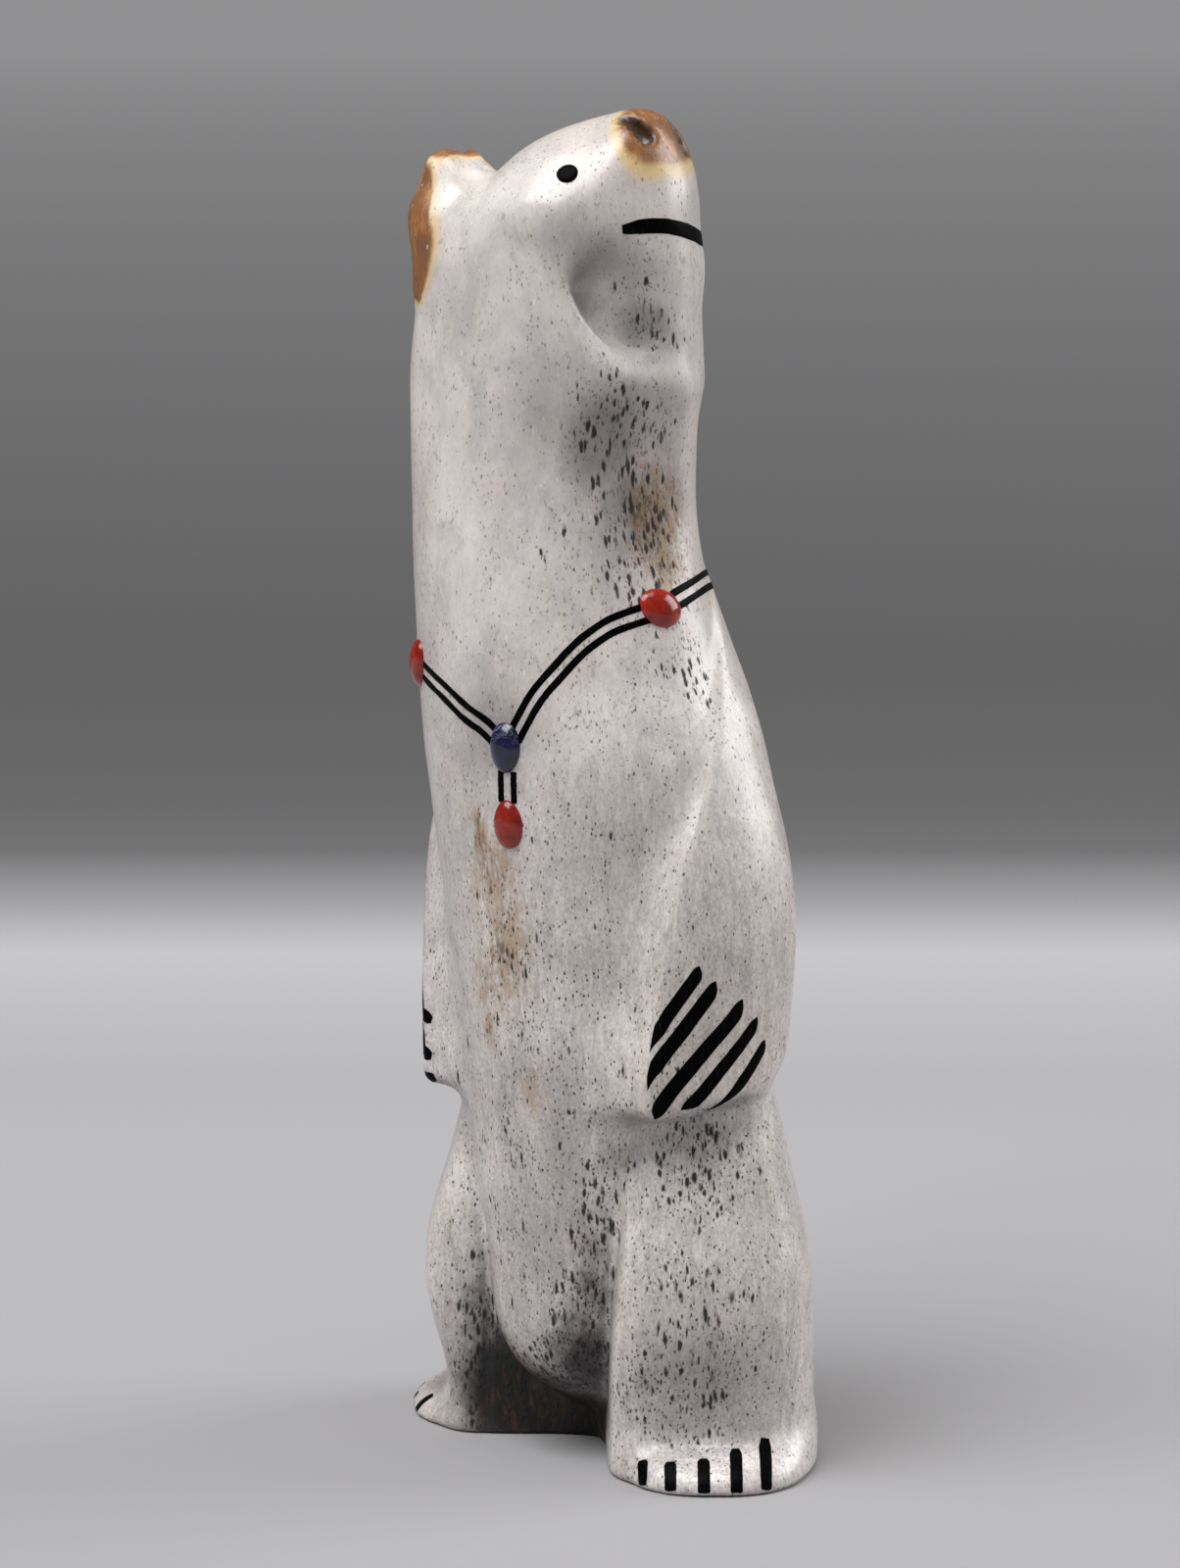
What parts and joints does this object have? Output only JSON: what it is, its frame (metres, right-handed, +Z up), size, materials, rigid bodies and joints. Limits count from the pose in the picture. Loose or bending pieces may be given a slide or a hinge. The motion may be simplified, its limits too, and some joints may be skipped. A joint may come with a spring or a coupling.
{
  "type": "standing bear fetish",
  "caption": "Carved antler bear standing upright with its head turned and raised, inlaid with stone drops on a double strand and dark claws, eyes and mouth.",
  "frame": {"origin": "middle of the bounding box in plan, on the floor that the sole rests on", "axes": "+Z up along the bear's height; the bear faces -Y and its left side is +X"},
  "size_m": [0.0434, 0.0312, 0.1147],
  "materials": {
    "antler": "satin",
    "jet": "satin",
    "coral": "gloss",
    "lapis": "gloss"
  },
  "bodies": {
    "root": {"bear": "antler", "lapis_drop": "lapis", "left_coral_drop": "coral", "right_coral_drop": "coral", "pendant_coral_drop": "coral", "left_upper_strand": "jet", "left_lower_strand": "jet", "right_upper_strand": "jet", "right_lower_strand": "jet", "back_upper_strand": "jet", "back_lower_strand": "jet", "right_pendant_strand": "jet", "left_pendant_strand": "jet", "left_hand_first_claw": "jet", "left_hand_second_claw": "jet", "left_hand_third_claw": "jet", "left_hand_fourth_claw": "jet", "left_hand_fifth_claw": "jet", "left_foot_first_claw": "jet", "left_foot_second_claw": "jet", "left_foot_third_claw": "jet", "left_foot_fourth_claw": "jet", "left_foot_fifth_claw": "jet", "right_hand_first_claw": "jet", "right_hand_second_claw": "jet", "right_hand_third_claw": "jet", "right_hand_fourth_claw": "jet", "right_hand_fifth_claw": "jet", "right_foot_first_claw": "jet", "right_foot_second_claw": "jet", "right_foot_third_claw": "jet", "right_foot_fourth_claw": "jet", "right_foot_fifth_claw": "jet", "left_eye": "jet", "right_eye": "jet", "mouth": "jet"}
  },
  "joints": []
}
